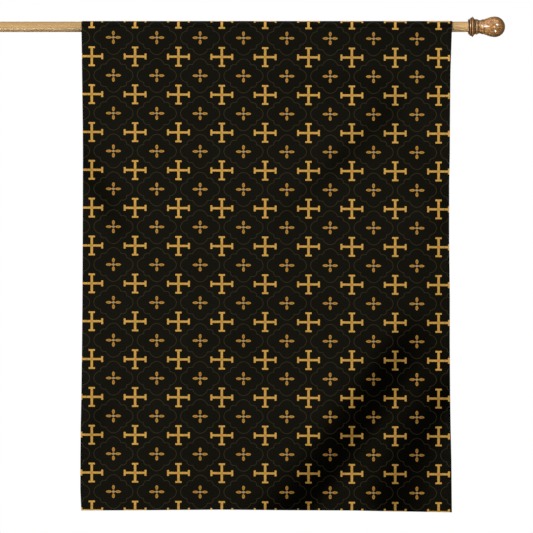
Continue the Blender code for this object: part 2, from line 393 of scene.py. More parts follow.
# %% Lengths along the cloth, in millimetres
TAIL_LENGTH = -SEAM_DROP - BOTTOM
FRONT_FOOT = Vector((-FACE, -SEAM_DROP))
BACK_FOOT = Vector((LAYER - SEAM_FORWARD, -SEAM_DROP))
FRONT_OUTWARDS = Vector((-math.cos(FRONT_SLOPE), -math.sin(FRONT_SLOPE)))
BACK_OUTWARDS = Vector((math.cos(BACK_SLOPE), -math.sin(BACK_SLOPE)))
FRONT_LEG = (SLEEVE_OUTSIDE * FRONT_OUTWARDS - FRONT_FOOT).length
BACK_LEG = (SLEEVE_OUTSIDE * BACK_OUTWARDS - BACK_FOOT).length
ARC_LENGTH = SLEEVE_OUTSIDE * (math.pi + FRONT_SLOPE + BACK_SLOPE)
SLEEVE_LENGTH = FRONT_LEG + ARC_LENGTH + BACK_LEG
CUT_LENGTH = TAIL_LENGTH + SLEEVE_LENGTH + SEAM_WIDTH
print("cut", round(FLAG_WIDTH), "by", round(CUT_LENGTH), "mm;", round(SLEEVE_LENGTH), "mm goes round")


# %% Over the pole, then into the folds
def along_to_section(along):
    """Where the straight cloth's printed face lies, as (Y, Z), and which way it looks, as (Y, Z)."""
    if along <= TAIL_LENGTH:
        return Vector((-FACE, BOTTOM + along)), Vector((-1.0, 0.0))
    along -= TAIL_LENGTH
    if along <= FRONT_LEG:
        return FRONT_FOOT.lerp(SLEEVE_OUTSIDE * FRONT_OUTWARDS, along / FRONT_LEG), FRONT_OUTWARDS
    along -= FRONT_LEG
    if along <= ARC_LENGTH:
        turn = -FRONT_SLOPE + along / SLEEVE_OUTSIDE
        outwards = Vector((-math.cos(turn), math.sin(turn)))
        return SLEEVE_OUTSIDE * outwards, outwards
    along -= ARC_LENGTH
    if along <= BACK_LEG:
        return (SLEEVE_OUTSIDE * BACK_OUTWARDS).lerp(BACK_FOOT, along / BACK_LEG), BACK_OUTWARDS
    return BACK_FOOT - Vector((0.0, along - BACK_LEG)), Vector((1.0, 0.0))


def hung(across, along, lift=0.0):
    """A point's hung place in metres, lifted off the cloth's printed face, and its place in the print."""
    section, outwards = along_to_section(along)
    section = section + lift * outwards
    down = SLEEVE_OUTSIDE - section.y
    seam_down = SLEEVE_OUTSIDE + SEAM_DROP + SEAM_WIDTH
    free = eased((down - seam_down) / SETTLING_DROP)
    from_left = across / FLAG_WIDTH
    left = between(SIDE_EDGES, down, 1)
    right = between(SIDE_EDGES, down, 2)
    x = FLAG_LEFT + across + left * (1.0 - from_left) - right * from_left
    back = free * (fold_offset(across, down) + unevenness(across, down))
    let_down = between(BOTTOM_HEM, across, 1) * eased((down - seam_down) / (FLAG_DROP - seam_down))
    z = section.y - let_down
    over = TAIL_LENGTH + FRONT_LEG
    print_up = z if along <= over else along - over + SLEEVE_OUTSIDE * FRONT_OUTWARDS.y
    print_place = (x - FLAG_LEFT, print_up)
    seen_smaller = back * MM / CAMERA_DISTANCE
    x += (x - VIEW_CENTRE.x / MM) * seen_smaller
    z += (z - VIEW_CENTRE.z / MM) * seen_smaller
    return Vector((x, section.x + back, z)) * MM, print_place


print("free corner hangs at", [round(number, 3) for number in hung(FLAG_WIDTH, 0.0)[0]])

# %% [markdown]
# ## Cutting the cloth
#
# The flat cloth is a grid, because a grid bends evenly. Two cuts close together run along each hem, so
# that the cloth can double its thickness in a crisp step there. A UV map stores where each point lies in
# the print. It is taken from the hung cloth's front, so that the print stays as straight as in the
# photograph while the edges wander.

# %% Cut, hem and hang
GRID_PITCH = 6.0
HEM_STEP = 0.4
CLOTH_MAP_SIZE = 1.05  # metres of cloth from one edge of the UV map to the other
PRINT_FOOT = 932.4  # millimetres from the UV map's lower edge up to the pole's axis
THIN_CLOTH = 0.6
HEMMED_CLOTH = 1.1


def in_a_hem(across, along):
    return min(across, FLAG_WIDTH - across, along) < HEM_WIDTH or along > CUT_LENGTH - SEAM_WIDTH


def cut_cloth():
    """The flat cloth in millimetres: x is across, y is along, with the extra cuts beside each hem."""
    flat = bmesh.new()
    columns, rows = round(FLAG_WIDTH / GRID_PITCH), round(CUT_LENGTH / GRID_PITCH)
    bmesh.ops.create_grid(flat, x_segments=columns, y_segments=rows, size=0.5)
    bmesh.ops.translate(flat, vec=(0.5, 0.5, 0.0), verts=flat.verts)
    bmesh.ops.scale(flat, vec=(FLAG_WIDTH, CUT_LENGTH, 1.0), verts=flat.verts)
    hem_lines = [(at, (1, 0, 0)) for at in (HEM_WIDTH, FLAG_WIDTH - HEM_WIDTH)] + [(HEM_WIDTH, (0, 1, 0))]
    for at, direction in hem_lines:
        for step in (-HEM_STEP, HEM_STEP):
            everything = flat.verts[:] + flat.edges[:] + flat.faces[:]
            place = Vector(direction) * (at + step)
            bmesh.ops.bisect_plane(flat, geom=everything, plane_co=place, plane_no=direction)
    return flat


def hang_cloth(flat):
    """Stores the hems and the print's map on the flat cloth, then moves it to its hung place."""
    hems = flat.verts.layers.deform.verify()
    print_map = flat.loops.layers.uv.new("print_map")
    places = {}
    for point in flat.verts:
        across, along = point.co.x, point.co.y
        if in_a_hem(across, along):
            point[hems][0] = 1.0
        places[point], (print_across, print_up) = hung(across, along)
        u = print_across * MM / CLOTH_MAP_SIZE
        v = (print_up + PRINT_FOOT) * MM / CLOTH_MAP_SIZE
        for loop in point.link_loops:
            loop[print_map].uv = (u, v)
    for point, place in places.items():
        point.co = place
    for face in flat.faces:
        face.smooth = True
    for edge in flat.edges:
        edge.smooth = not edge.is_boundary


# %% [markdown]
# ## Helpers for the finishes
#
# A material is a small network of nodes. Writing each link by hand is long and hard to read, so a few
# helpers do it: some do arithmetic, some make places, noise and colours, and one makes a group with named
# sockets. A group is an effect that is used more than once, such as a mottle or a wood grain, each time
# with values of its own.


# %% Arithmetic with nodes
def maths(tree, operation, *values):
    node = tree.nodes.new("ShaderNodeMath")
    node.operation = operation
    for socket, value in zip(node.inputs, values):
        put(tree, socket, value)
    return node.outputs[0]


def minus(tree, first, second):
    return maths(tree, "SUBTRACT", first, second)


def times(tree, first, second):
    return maths(tree, "MULTIPLY", first, second)


def apart(tree, first, second):
    """How far two values lie apart."""
    return maths(tree, "ABSOLUTE", minus(tree, first, second))


def length_of(tree, x, y):
    """How long the way is that goes x across and y up."""
    return maths(tree, "SQRT", maths(tree, "MULTIPLY_ADD", x, x, times(tree, y, y)))


def joined(tree, operation, values, *settings):
    """Joins a list of values into one, one after the other."""
    whole = values[0]
    for value in values[1:]:
        whole = maths(tree, operation, whole, value, *settings)
    return whole


def from_to(tree, value, start, end, low=0.0, high=1.0):
    """Goes softly from low to high while the value goes from start to end."""
    node = tree.nodes.new("ShaderNodeMapRange")
    node.interpolation_type = "SMOOTHSTEP"
    for socket, setting in zip(node.inputs, (value, start, end, low, high)):
        put(tree, socket, setting)
    return node.outputs[0]


# %% Places, noise and colours
NOISE_SPREAD = 4.0  # a noise stays near its middle, so its swings are enlarged


def own_place(tree):
    return tree.nodes.new("ShaderNodeTexCoord").outputs["Object"]


def parts_of(tree, place):
    """The X, Y and Z of a place."""
    return new_node(tree, "ShaderNodeSeparateXYZ", {"Vector": place}).outputs


def scaled_place(tree, place, factors):
    return new_node(tree, "ShaderNodeMapping", {"Vector": place, "Scale": factors}).outputs[0]


def noise_at(tree, place, scale=1.0, detail=3.0, roughness=0.5, distortion=0.0):
    settings = {"Scale": scale, "Detail": detail, "Roughness": roughness, "Distortion": distortion}
    return new_node(tree, "ShaderNodeTexNoise", {"Vector": place, **settings}).outputs["Fac"]


def mixed_colours(tree, share, first, second):
    node = tree.nodes.new("ShaderNodeMix")
    node.data_type = "RGBA"
    put(tree, node.inputs["Factor"], share)
    put(tree, node.inputs["A"], first)
    put(tree, node.inputs["B"], second)
    return node.outputs["Result"]


def layered(tree, colour, layers):
    """Lays colours over a first one, each through a mask and with a strength of its own."""
    for mask, strength, upper in layers:
        colour = mixed_colours(tree, times(tree, mask, strength), colour, upper)
    return colour


def bumped(tree, height, distance, strength):
    settings = {"Strength": strength, "Distance": distance, "Height": height}
    return new_node(tree, "ShaderNodeBump", settings).outputs["Normal"]


# %% Groups and finishes
def new_group(name, takes, gives):
    """A group that takes numbers, or a place where its value is None, and gives numbers."""
    group = bpy.data.node_groups.new(name, "ShaderNodeTree")
    for label, value in takes.items():
        kind = "NodeSocketVector" if value is None else "NodeSocketFloat"
        socket = group.interface.new_socket(label, in_out="INPUT", socket_type=kind)
        if value is not None:
            socket.default_value = value
    for label in gives:
        group.interface.new_socket(label, in_out="OUTPUT", socket_type="NodeSocketFloat")
    return group, group.nodes.new("NodeGroupInput").outputs, group.nodes.new("NodeGroupOutput").inputs


def use_group(tree, group, settings):
    node = tree.nodes.new("ShaderNodeGroup")
    node.node_tree = group
    for label, value in settings.items():
        put(tree, node.inputs[label], value)
    return node.outputs


def new_finish(name, settings):
    """A material whose shader has some sockets set. Returns it, its node tree and the shader's sockets."""
    finish = bpy.data.materials.new(name)
    finish.use_nodes = True
    sockets = finish.node_tree.nodes["Principled BSDF"].inputs
    for label, value in settings.items():
        sockets[label].default_value = value
    return finish, finish.node_tree, sockets


# %% [markdown]
# ## The printed repeat
#
# The print is an old heraldic repeat: crosses with a short bar across each arm's end, four-petalled
# flowers between them, and a thin lantern-shaped trellis line round each flower. Rather than painting it,
# each shape is a formula for how far a point is from the shape's edge. That stays sharp at any size, and
# one repeat serves the whole cloth. Rows and columns come from taking the fraction of a point's place
# divided by the repeat's size.

# %% Distance to a bar with round corners
BAR_TAKES = {"X": 0.0, "Y": 0.0, "Half Width": 1.0, "Half Height": 1.0, "Corner": 0.5}

bar, bar_in, bar_out = new_group("rounded_bar", BAR_TAKES, ["Distance"])


def beyond(side, half):
    """How far a place lies beyond the point on a side where the round corner starts."""
    return minus(bar, bar_in[side], minus(bar, bar_in[half], bar_in["Corner"]))


beyond_x = beyond("X", "Half Width")
beyond_y = beyond("Y", "Half Height")
outside = length_of(bar, maths(bar, "MAXIMUM", beyond_x, 0.0), maths(bar, "MAXIMUM", beyond_y, 0.0))
inside = maths(bar, "MINIMUM", maths(bar, "MAXIMUM", beyond_x, beyond_y), 0.0)
put(bar, bar_out["Distance"], minus(bar, maths(bar, "ADD", outside, inside), bar_in["Corner"]))
print("bar group has", len(bar.nodes), "nodes")

# %% [markdown]
# The repeat's group takes a place on the cloth in millimetres and gives one mask for each ink. The rows
# fall very slightly to the right, because the cloth was printed or cut a little out of square.

# %% Sizes of the repeat, in millimetres
COLUMN_PITCH = 83.17
ROW_PITCH = 72.6
ROW_FALL = 0.42  # for each column to the right
FIRST_CROSS = (19.95, PRINT_FOOT - 56.85)
EDGE_SOFTNESS = 0.35

CROSS_BARS = (
    # name, how far its middle is from the cross's, half its size, corner
    ("upright", (0.0, 0.0), (2.25, 18.0), 0.2),
    ("crossbar", (0.0, 0.0), (21.0, 2.05), 0.2),
    ("end of the upright", (0.0, 17.3), (6.1, 1.5), 1.1),
    ("end of the crossbar", (20.0, 0.0), (1.7, 5.7), 1.1),
)
BAR_JOIN = 0.5  # how roundly the bars run together
END_FLARE = 0.05
CROSS_CORE = (1.9, 0.6)  # how far inside the edge the deeper ink starts, and how softly
CROSS_MIDDLE = (4.5, 0.5)  # how far from the cross's middle the deepest ink starts and is full

PETALS = (
    # name, how far its middle is from the flower's, half its size, how much it narrows per millimetre
    ("standing petal", (0.0, 8.0), (2.6, 4.3), -0.02),
    ("lying petal", (9.3, 0.0), (5.0, 2.4), 0.03),
)
PETAL_CORE = (1.0, 0.5)
FLOWER_MIDDLE = ((2.4, 2.4), 2.2)  # half its size, and its corners' radius
FLOWER_STALK = ((4.6, 0.8), 0.4)

TRELLIS_BOX = ((25.2, 21.5), 6.7)
TRELLIS_LOBES = (
    # how far a lobe's middle is from the flower's, its radius, how much its top is drawn to a point
    ((24.0, 0.0), 13.6, (0.0, 0.05)),
    ((0.0, 16.4), 16.3, (0.085, 0.0)),
)
TRELLIS_JOIN = 0.8
TRELLIS_LINE = 0.5  # half the line's width
print("repeat", COLUMN_PITCH, "by", ROW_PITCH, "mm")

# %% Folded places within one repeat
MASKS = ("Trellis", "Petals", "Petal Core", "Flower Middle", "Cross", "Cross Core", "Cross Middle")

repeat, repeat_in, repeat_out = new_group("heraldic_repeat", {"Place": None}, MASKS)
repeat_place = parts_of(repeat, repeat_in["Place"])
columns_across = maths(repeat, "DIVIDE", minus(repeat, repeat_place["X"], FIRST_CROSS[0]), COLUMN_PITCH)
above_first_row = minus(repeat, repeat_place["Y"], FIRST_CROSS[1])
height_on_row = maths(repeat, "MULTIPLY_ADD", columns_across, ROW_FALL, above_first_row)
rows_up = maths(repeat, "DIVIDE", height_on_row, ROW_PITCH)


def from_nearest(value, shift):
    """How far a value is from the nearest whole number, or with a shift of 0.5, from the nearest half."""
    return apart(repeat, maths(repeat, "FRACT", maths(repeat, "ADD", value, 0.5 - shift)), 0.5)


cross_x = times(repeat, from_nearest(columns_across, 0.0), COLUMN_PITCH)
cross_y = times(repeat, from_nearest(rows_up, 0.0), ROW_PITCH)
flower_x = times(repeat, from_nearest(columns_across, 0.5), COLUMN_PITCH)
flower_y = times(repeat, from_nearest(rows_up, 0.5), ROW_PITCH)


# %% The crosses
def inked(distance, inset=0.0, softness=EDGE_SOFTNESS):
    """A mask that is 1 inside a shape, from its edge or from a line further in."""
    return from_to(repeat, distance, softness - inset, -softness - inset)


def to_bar(x, y, half, corner):
    settings = {"X": x, "Y": y, "Half Width": half[0], "Half Height": half[1], "Corner": corner}
    return use_group(repeat, bar, settings)["Distance"]


def to_cross_bar(middle, half, corner):
    """The distance to one bar of the cross. A bar at an arm's end flares a little towards its tips."""
    x, y = cross_x, cross_y
    if middle[1]:
        y = minus(repeat, apart(repeat, cross_y, middle[1]), times(repeat, x, END_FLARE))
    if middle[0]:
        x = minus(repeat, apart(repeat, cross_x, middle[0]), times(repeat, y, END_FLARE))
    return to_bar(x, y, half, corner)


cross_bars = [to_cross_bar(*settings) for _, *settings in CROSS_BARS]
to_cross = joined(repeat, "SMOOTH_MIN", cross_bars, BAR_JOIN)
put(repeat, repeat_out["Cross"], inked(to_cross))
put(repeat, repeat_out["Cross Core"], inked(to_cross, *CROSS_CORE))
from_cross_middle = length_of(repeat, cross_x, cross_y)
put(repeat, repeat_out["Cross Middle"], from_to(repeat, from_cross_middle, *CROSS_MIDDLE))
print("cross has", len(cross_bars), "bars")


# %% The flowers
def to_petal(middle, half, narrowing):
    """The distance to one petal, an oval that grows narrower or wider outwards."""
    x = minus(repeat, flower_x, middle[0])
    y = minus(repeat, flower_y, middle[1])
    if middle[1]:
        x = times(repeat, x, maths(repeat, "MULTIPLY_ADD", y, narrowing, 1.0))
    else:
        y = times(repeat, y, maths(repeat, "MULTIPLY_ADD", x, narrowing, 1.0))
    share_x = maths(repeat, "DIVIDE", x, half[0])
    share_y = maths(repeat, "DIVIDE", y, half[1])
    return times(repeat, minus(repeat, length_of(repeat, share_x, share_y), 1.0), min(half))


petals = [to_petal(*settings) for _, *settings in PETALS]
to_petals = joined(repeat, "MINIMUM", petals)
put(repeat, repeat_out["Petals"], inked(to_petals))
put(repeat, repeat_out["Petal Core"], inked(to_petals, *PETAL_CORE))
to_middle = to_bar(flower_x, flower_y, *FLOWER_MIDDLE)
to_stalk = to_bar(flower_x, flower_y, *FLOWER_STALK)
put(repeat, repeat_out["Flower Middle"], inked(maths(repeat, "MINIMUM", to_middle, to_stalk)))
print("flower has", 2 * len(petals), "petals")


# %% The trellis line
def to_lobe(middle, radius, point):
    """The distance to one lobe, a circle whose top is drawn to a point."""
    x = minus(repeat, flower_x, middle[0])
    y = minus(repeat, flower_y, middle[1])
    distance = minus(repeat, length_of(repeat, x, y), radius)
    distance = maths(repeat, "MULTIPLY_ADD", flower_x, point[0], distance)
    return maths(repeat, "MULTIPLY_ADD", flower_y, point[1], distance)


trellis_shapes = [to_bar(flower_x, flower_y, *TRELLIS_BOX)] + [to_lobe(*lobe) for lobe in TRELLIS_LOBES]
to_trellis = joined(repeat, "SMOOTH_MIN", trellis_shapes, TRELLIS_JOIN)
off_line = minus(repeat, maths(repeat, "ABSOLUTE", to_trellis), TRELLIS_LINE)
put(repeat, repeat_out["Trellis"], inked(off_line))
print("repeat has", len(repeat.nodes), "nodes")

# %% [markdown]
# ## Weave and mottle
#
# Two more groups serve the cloth. The weave crosses two sets of threads, over and under in turn, and
# gives a height for a bump. The mottle is a slow, faint change that keeps a colour or a shine from being
# the same all over.

# %% The weave
THREAD_PITCH = 0.9  # millimetres
THREAD_LEVEL, THREAD_SWING = 0.55, 0.45  # a thread's middle height, and how far it goes over and under

weave, weave_in, weave_out = new_group("plain_weave", {"Place": None, "Thread": THREAD_PITCH}, ["Height"])
weave_place = parts_of(weave, weave_in["Place"])


def thread_wave(axis):
    threads = maths(weave, "DIVIDE", weave_place[axis], weave_in["Thread"])
    return maths(weave, "SINE", times(weave, threads, math.pi))


warp = thread_wave("X")
weft = thread_wave("Y")
upper_hand = times(weave, times(weave, warp, weft), THREAD_SWING)
warp_level = maths(weave, "ADD", THREAD_LEVEL, upper_hand)
weft_level = minus(weave, THREAD_LEVEL, upper_hand)
warp_height = times(weave, maths(weave, "ABSOLUTE", warp), warp_level)
weft_height = times(weave, maths(weave, "ABSOLUTE", weft), weft_level)
put(weave, weave_out["Height"], maths(weave, "MAXIMUM", warp_height, weft_height))
print("threads", THREAD_PITCH, "mm apart")

# %% The mottle
MOTTLE_TAKES = {"Place": None, "Size": 10.0, "Amount": 0.1}

mottle, mottle_in, mottle_out = new_group("mottle", MOTTLE_TAKES, ["Factor"])
mottle_scale = maths(mottle, "DIVIDE", 1.0, mottle_in["Size"])
mottle_noise = noise_at(mottle, mottle_in["Place"], mottle_scale, detail=4.0)
mottle_swing = times(mottle, minus(mottle, mottle_noise, 0.5), mottle_in["Amount"])
put(mottle, mottle_out["Factor"], maths(mottle, "MULTIPLY_ADD", mottle_swing, NOISE_SPREAD, 1.0))
print("mottle group has", len(mottle.nodes), "nodes")

# %% [markdown]
# ## The cloth's finish
#
# The ground is a warm near-black, so nearly all that shows of it is the dull shine of the polyester
# threads. That is why the roughness and the tint of that shine matter more than the ground's own colour.
# The inks lie on top in the order of the print: trellis line, flowers, crosses. Each ink is a little
# deeper along the middle of its shape, as the print's drawing has it.

# %% Inks
GROUND = (0.0007, 0.0006, 0.0003, 1)
INKS = (
    # the mask it is laid through, its colour
    ("Trellis", (0.040, 0.030, 0.014, 1)),
    ("Petals", (0.57, 0.295, 0.055, 1)),
    ("Petal Core", (0.385, 0.168, 0.024, 1)),
    ("Flower Middle", (0.43, 0.30, 0.15, 1)),
    ("Cross", (0.70, 0.385, 0.080, 1)),
    ("Cross Core", (0.60, 0.315, 0.060, 1)),
    ("Cross Middle", (0.50, 0.270, 0.058, 1)),
)
INK_MOTTLE = {"Size": 7.0, "Amount": 0.16}
SHINE_MOTTLE = {"Size": 60.0, "Amount": 0.06}
CLOTH_SHINE = {"Specular IOR Level": 0.15, "Specular Tint": (0.99, 0.93, 0.60, 1)}
CLOTH_ROUGHNESS = 0.42
print(len(INKS), "inks")


# %% Print the cloth
def scaled_colour(tree, colour, factor):
    node = tree.nodes.new("ShaderNodeVectorMath")
    node.operation = "SCALE"
    put(tree, node.inputs[0], colour)
    put(tree, node.inputs["Scale"], factor)
    return node.outputs[0]


cloth_finish, cloth_tree, cloth_sockets = new_finish("printed_polyester", CLOTH_SHINE)
cloth_uv = cloth_tree.nodes.new("ShaderNodeUVMap")
cloth_uv.uv_map = "print_map"
map_to_mm = CLOTH_MAP_SIZE / MM
cloth_place = scaled_place(cloth_tree, cloth_uv.outputs[0], (map_to_mm, map_to_mm, 1.0))
masks = use_group(cloth_tree, repeat, {"Place": cloth_place})
cloth_colour = GROUND
for mask, ink in INKS:
    cloth_colour = mixed_colours(cloth_tree, masks[mask], cloth_colour, ink)
ink_change = use_group(cloth_tree, mottle, {"Place": cloth_place, **INK_MOTTLE})["Factor"]
put(cloth_tree, cloth_sockets["Base Color"], scaled_colour(cloth_tree, cloth_colour, ink_change))
shine_change = use_group(cloth_tree, mottle, {"Place": cloth_place, **SHINE_MOTTLE})["Factor"]
put(cloth_tree, cloth_sockets["Roughness"], times(cloth_tree, shine_change, CLOTH_ROUGHNESS))
threads = use_group(cloth_tree, weave, {"Place": cloth_place, "Thread": THREAD_PITCH})["Height"]
cloth_normal = bumped(cloth_tree, threads, distance=0.03 * MM, strength=0.6)
put(cloth_tree, cloth_sockets["Normal"], cloth_normal)
print("cloth's finish has", len(cloth_tree.nodes), "nodes")

# %% Make the cloth
flat_cloth = cut_cloth()
hang_cloth(flat_cloth)
printed_cloth = finished("printed_cloth", flat_cloth, cloth_finish)
printed_cloth.vertex_groups.new(name="hems")
thickness = printed_cloth.modifiers.new("cloth_thickness", "SOLIDIFY")
thickness.thickness = HEMMED_CLOTH * MM
thickness.offset = -1.0
thickness.vertex_group = "hems"
thickness.thickness_vertex_group = THIN_CLOTH / HEMMED_CLOTH
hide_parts("flag_cloth")
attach(printed_cloth, "root")

# %% [markdown]
# ## Sewing
#
# Every hem and the sleeve's seam is held by a row of black stitches. From a step away they are invisible,
# and close up they are what tells a sewn flag from a sheet of paper. Each stitch is a grain-shaped bead
# that lies half sunk in the cloth, one row on each side of it, placed with the same function that hung
# the cloth.

# %% Rows of stitches
STITCH_PITCH = 4.0
STITCH_INSET = 2.5  # from a hem's inner edge
STITCH_HALF = (1.5, 0.30, 0.24)  # half its length, width and height
SIDE_ROW = CUT_LENGTH - SEAM_WIDTH - STITCH_PITCH
SEAM_ROWS = (
    # name, its run, where it lies from the cloth's corner, how long it is, how deep the cloth's back lies
    ("left hem", "along", HEM_WIDTH - STITCH_INSET, SIDE_ROW, HEMMED_CLOTH),
    ("right hem", "along", FLAG_WIDTH - HEM_WIDTH + STITCH_INSET, SIDE_ROW, HEMMED_CLOTH),
    ("bottom hem", "across", HEM_WIDTH - STITCH_INSET, FLAG_WIDTH, HEMMED_CLOTH),
    ("sleeve seam", "across", TAIL_LENGTH - 0.5 * SEAM_WIDTH, FLAG_WIDTH, 2.0 * LAYER),
)


def stitch_matrix(here, there, out):
    """Turns and sizes a round bead into a stitch from here to there that lies flat on the cloth."""
    run = (there - here).normalized()
    side = out.cross(run).normalized()
    turn = Matrix((run, side, run.cross(side))).transposed().to_4x4()
    size = Matrix.Diagonal((*(Vector(STITCH_HALF) * MM), 1.0))
    return Matrix.Translation((here + there) / 2.0) @ turn @ size


def stitch_ends(kind, across, along, lift):
    """The two ends of a stitch that runs along or across, with its middle at a point of the cloth."""
    half = STITCH_HALF[0]
    if kind == "along":
        return hung(across, along - half, lift)[0], hung(across, along + half, lift)[0]
    return hung(across - half, along, lift)[0], hung(across + half, along, lift)[0]


def outwards_at(across, along):
    return (hung(across, along, 1.0)[0] - hung(across, along, 0.0)[0]).normalized()


def sew_rows():
    sewing = bmesh.new()
    for _, kind, offset, row_length, back in SEAM_ROWS:
        for count in range(1, int(row_length / STITCH_PITCH) - 1):
            run = (count + 0.5) * STITCH_PITCH
            across, along = (offset, run) if kind == "along" else (run, offset)
            for lift in (0.0, -back):
                here, there = stitch_ends(kind, across, along, lift)
                matrix = stitch_matrix(here, there, outwards_at(across, along))
                bmesh.ops.create_icosphere(sewing, subdivisions=1, radius=1.0, matrix=matrix)
    return sewing


# %% Sew the cloth
BLACK_THREAD = {"Base Color": (0.004, 0.004, 0.003, 1), "Roughness": 0.55, "Specular IOR Level": 0.15}

thread_finish = new_finish("black_thread", BLACK_THREAD)[0]
hem_stitches = finished("hem_stitches", sew_rows(), thread_finish, sharp_degrees=80)
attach(hem_stitches, "root")

# %% [markdown]
# ## Turned wood
#
# A stick and a knob are both made on a lathe, and bmesh has the same tool: spin turns a profile about an
# axis. The profile runs from the axis out along the piece and back to the axis, so the result is closed.
# Points that meet on the axis are merged, and the faces are then made to look outwards.


# %% A lathe
def turned(name, profile, steps, finish, sharp_degrees):
    """A piece turned about the pole's axis from (place along X, radius) in millimetres."""
    shape = bmesh.new()
    points = [shape.verts.new((x * MM, 0.0, radius * MM)) for x, radius in profile]
    edges = [shape.edges.new(pair) for pair in zip(points, points[1:])]
    bmesh.ops.spin(
        shape,
        geom=points + edges,
        cent=(0.0, 0.0, 0.0),
        axis=(1.0, 0.0, 0.0),
        angle=math.tau,
        steps=steps,
        use_merge=True,
    )
    bmesh.ops.remove_doubles(shape, verts=shape.verts, dist=0.005 * MM)
    bmesh.ops.recalc_face_normals(shape, faces=shape.faces)
    return finished(name, shape, finish, sharp_degrees)


# %% [markdown]
# ## Wood grain
#
# A tree grows in rings round its pith, so a stick cut from it shows slices of cylinders: long, nearly
# straight lines on the pole, and ovals where the knob is rounded. The group below works out how far a
# point is from a pith that lies outside the piece, adds a slow wobble, and turns that into soft rings.
# Fine fibres and short dark pores run along the pole's axis on top of them.

# %% The grain
SLOW_SCALE = (0.012, 0.07, 0.07)  # a noise is stretched along X, where its scale is smaller
FIBRE_SCALE = (0.035, 2.1, 2.1)
PORE_SCALE = (0.16, 2.6, 2.6)
RING_RISE = (0.05, 0.85)  # where a ring starts to darken and where it is darkest, in shares of its width
RING_FALL = (1.0, 0.88)
FIBRE_RANGE = (0.3, 0.7)
PORE_RANGE = (0.64, 0.72)
GRAIN_TAKES = {"Place": None, "Ring Width": 2.5, "Wobble": 2.0, "Pith Y": 30.0, "Pith Z": 20.0}

grain, grain_in, grain_out = new_group("wood_grain", GRAIN_TAKES, ["Rings", "Fibres", "Pores"])
grain_mm = scaled_place(grain, grain_in["Place"], (1.0 / MM, 1.0 / MM, 1.0 / MM))
grain_place = parts_of(grain, grain_mm)
pith_y = minus(grain, grain_place["Y"], grain_in["Pith Y"])
pith_z = minus(grain, grain_place["Z"], grain_in["Pith Z"])
slow_noise = noise_at(grain, scaled_place(grain, grain_mm, SLOW_SCALE))
wobble = times(grain, minus(grain, slow_noise, 0.5), grain_in["Wobble"])
from_pith = maths(grain, "MULTIPLY_ADD", wobble, NOISE_SPREAD, length_of(grain, pith_y, pith_z))
ring_share = maths(grain, "FRACT", maths(grain, "DIVIDE", from_pith, grain_in["Ring Width"]))
rings = times(grain, from_to(grain, ring_share, *RING_RISE), from_to(grain, ring_share, *RING_FALL))
put(grain, grain_out["Rings"], rings)
fibre_noise = noise_at(grain, scaled_place(grain, grain_mm, FIBRE_SCALE), detail=4.0, roughness=0.6)
put(grain, grain_out["Fibres"], from_to(grain, fibre_noise, *FIBRE_RANGE))
pore_noise = noise_at(grain, scaled_place(grain, grain_mm, PORE_SCALE), detail=2.0)
put(grain, grain_out["Pores"], from_to(grain, pore_noise, *PORE_RANGE))
print("grain group has", len(grain.nodes), "nodes")

# %% [markdown]
# ## The pole
#
# The pole is a plain stick with a satin varnish. It is pale, its grain runs the whole length in fine
# streaks, and its two ends are broken by a small chamfer.

# %% Pole finish
PALE_WOOD = (0.56, 0.368, 0.153, 1)
PALE_WOOD_DARK = (0.43, 0.245, 0.093, 1)
PALE_WOOD_PORE = (0.25, 0.125, 0.05, 1)
POLE_GRAIN = {"Ring Width": 3.4, "Wobble": 1.4, "Pith Y": 34.0, "Pith Z": 21.0}
POLE_ROUGHNESS = (0.34, 0.46)

pole_finish, pole_tree, pole_sockets = new_finish("satin_pole_wood", {})
pole_grain = use_group(pole_tree, grain, {"Place": own_place(pole_tree), **POLE_GRAIN})
pole_layers = (
    (pole_grain["Rings"], 0.5, PALE_WOOD_DARK),
    (pole_grain["Fibres"], 0.42, PALE_WOOD_DARK),
    (pole_grain["Pores"], 0.35, PALE_WOOD_PORE),
)
put(pole_tree, pole_sockets["Base Color"], layered(pole_tree, PALE_WOOD, pole_layers))
pole_roughness = from_to(pole_tree, pole_grain["Fibres"], 0.0, 1.0, *POLE_ROUGHNESS)
put(pole_tree, pole_sockets["Roughness"], pole_roughness)
pole_normal = bumped(pole_tree, pole_grain["Fibres"], distance=0.012 * MM, strength=0.5)
put(pole_tree, pole_sockets["Normal"], pole_normal)
print("pole's finish has", len(pole_tree.nodes), "nodes")

# %% Turn the pole
SOCKET_DEPTH = 14.0
POLE_END = FINIAL_BASE + SOCKET_DEPTH
CHAMFER = 1.5
CHAMFER_BELLY = (0.35, 0.8)  # rounds the butt end's chamfer: in from the end, in from the side
POLE_STRETCHES = 6  # the pole's length is cut up, so that long faces don't stretch the shading

pole_straight = POLE_END - 2.0 * CHAMFER
pole_profile = [
    (0.0, 0.0),
    (0.0, POLE_RADIUS - CHAMFER),
    (CHAMFER_BELLY[0], POLE_RADIUS - CHAMFER_BELLY[1]),
    (CHAMFER, POLE_RADIUS),
]
for step in range(1, POLE_STRETCHES):
    pole_profile.append((CHAMFER + pole_straight * step / POLE_STRETCHES, POLE_RADIUS))
pole_profile += [(POLE_END - CHAMFER, POLE_RADIUS), (POLE_END, POLE_RADIUS - CHAMFER), (POLE_END, 0.0)]
pole_stick = turned("pole_stick", pole_profile, steps=64, finish=pole_finish, sharp_degrees=28)
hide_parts("pole")
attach(pole_stick, "root")
